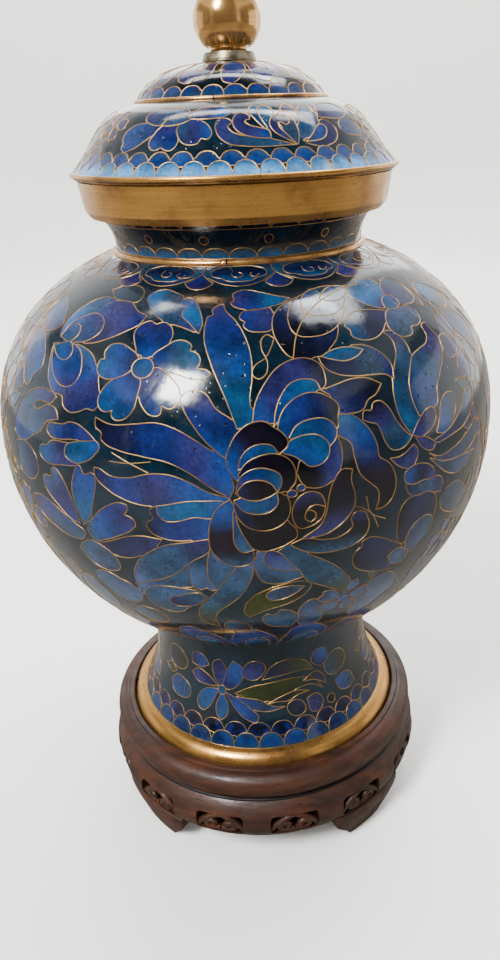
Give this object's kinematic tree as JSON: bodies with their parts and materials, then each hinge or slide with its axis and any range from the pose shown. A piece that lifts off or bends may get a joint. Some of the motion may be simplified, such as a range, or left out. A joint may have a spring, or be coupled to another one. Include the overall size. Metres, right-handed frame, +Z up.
{
  "type": "covered cloisonne jar on a wooden stand",
  "caption": "Rounded covered jar of enamelled copper with wire flowers, a lift-off domed lid with a ball finial, and a separate turned wooden stand.",
  "frame": {"origin": "on the floor, under the middle of the stand", "axes": "+Z up the jar's axis, -Y to the front, between two feet"},
  "size_m": [0.171, 0.171, 0.2957],
  "materials": {
    "enamel": "polished glass enamel between gilt wires",
    "lining": "plain blue counter enamel",
    "copper": "bare spun copper, hidden between enamels",
    "gilt_brass": "gilt, satin brushed",
    "dull_brass": "dull turned brass",
    "rosewood": "dark varnish over rosewood",
    "dowel_wood": "bare dowel"
  },
  "bodies": {
    "stand": {"stand_top_ring": "rosewood", "stand_seat_board": "rosewood", "front_band": "rosewood", "right_band": "rosewood", "back_band": "rosewood", "left_band": "rosewood", "front_right_foot": "rosewood", "back_right_foot": "rosewood", "back_left_foot": "rosewood", "front_left_foot": "rosewood", "foot_dowels": "dowel_wood"},
    "jar": {"copper_bowl": "copper", "copper_shoulder": "copper", "copper_neck": "copper", "copper_foot": "copper", "belly_enamel_lower": "enamel", "belly_enamel_upper": "enamel", "neck_enamel": "enamel", "foot_enamel": "enamel", "lining_bowl": "lining", "lining_shoulder": "lining", "lining_neck": "lining", "foot_lining": "lining", "base_enamel": "lining", "neck_ring": "gilt_brass", "foot_ring": "gilt_brass", "mouth_band": "gilt_brass", "mouth_liner": "gilt_brass"},
    "lid": {"lid_skirt_enamel": "enamel", "lid_cap_enamel": "enamel", "lid_copper": "copper", "lid_lining": "lining", "lid_step_ring": "gilt_brass", "lid_lip_ring": "gilt_brass", "lid_collar": "gilt_brass", "finial_ball": "gilt_brass", "finial_washer": "dull_brass", "finial_stud": "dull_brass", "backing_washer": "dull_brass", "finial_nut": "dull_brass"}
  },
  "joints": [
    {"name": "jar_lift", "type": "slide", "parent": "stand", "child": "jar", "axis": [0, 0, 1], "range_m": [0, 0.05]},
    {"name": "lid_lift", "type": "slide", "parent": "jar", "child": "lid", "axis": [0, 0, 1], "range_m": [0, 0.05]}
  ]
}
